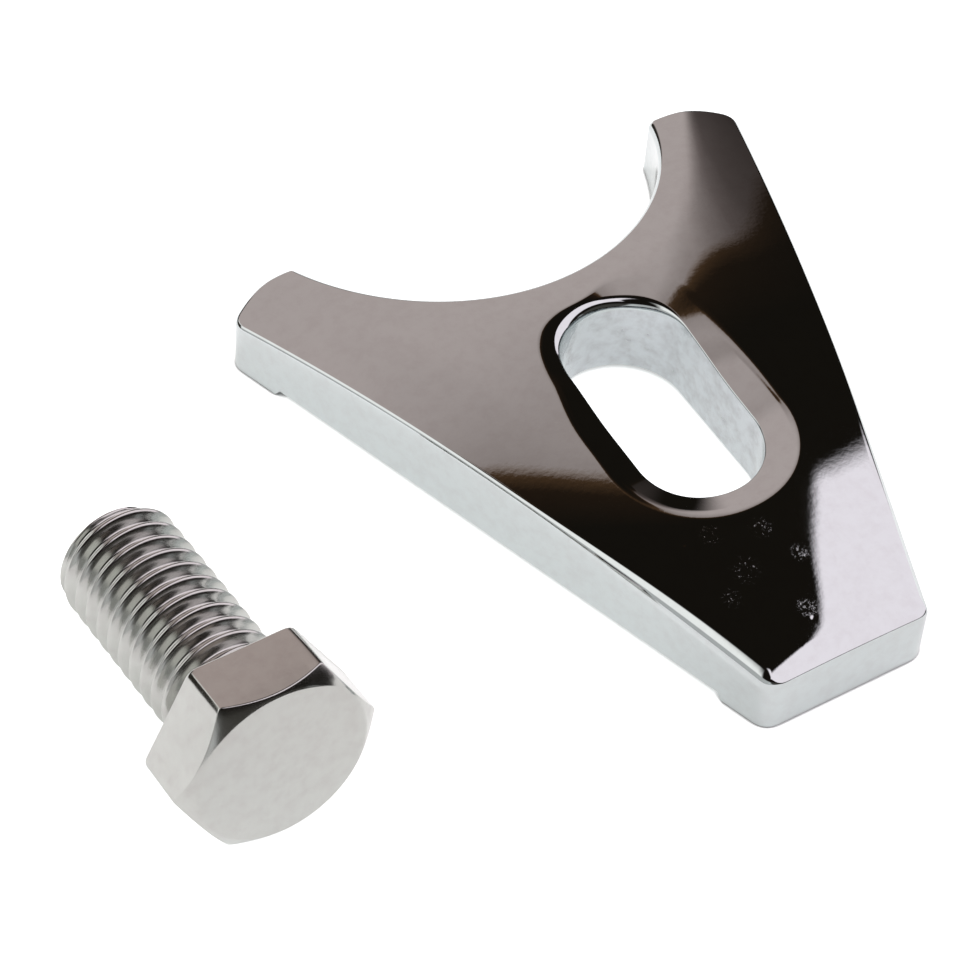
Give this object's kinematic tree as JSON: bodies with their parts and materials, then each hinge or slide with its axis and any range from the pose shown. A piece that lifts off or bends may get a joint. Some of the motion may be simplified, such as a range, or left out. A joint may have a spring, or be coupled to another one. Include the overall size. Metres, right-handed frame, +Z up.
{
  "type": "distributor hold-down clamp",
  "caption": "Chrome-plated fork-shaped hold-down clamp with a crowned top and an adjusting slot, and the hex cap screw that fastens it, lying loose beside it.",
  "frame": {"origin": "centre of the heel pad under the clamp's narrow end, on the plane that the clamp rests on", "axes": "+Y along the clamp's line of symmetry from the narrow heel towards the fork, +Z up out of the crowned top, +X to the right seen from above"},
  "size_m": [0.0732, 0.0518, 0.0146],
  "materials": {
    "polished_chrome": "bright chrome plate on a polished casting, smoother on top than on the sides and in the slot",
    "plated_screw": "bright plate on a cold-formed steel screw, slightly satin on the head's face"
  },
  "bodies": {
    "clamp": {"hold_down_clamp": "polished_chrome"},
    "screw": {"hex_cap_screw": "plated_screw"}
  },
  "joints": [
    {"name": "screw_lift", "type": "slide", "parent": "clamp", "child": "screw", "axis": [0, 0, 1], "range_m": [0, 0.05]}
  ]
}
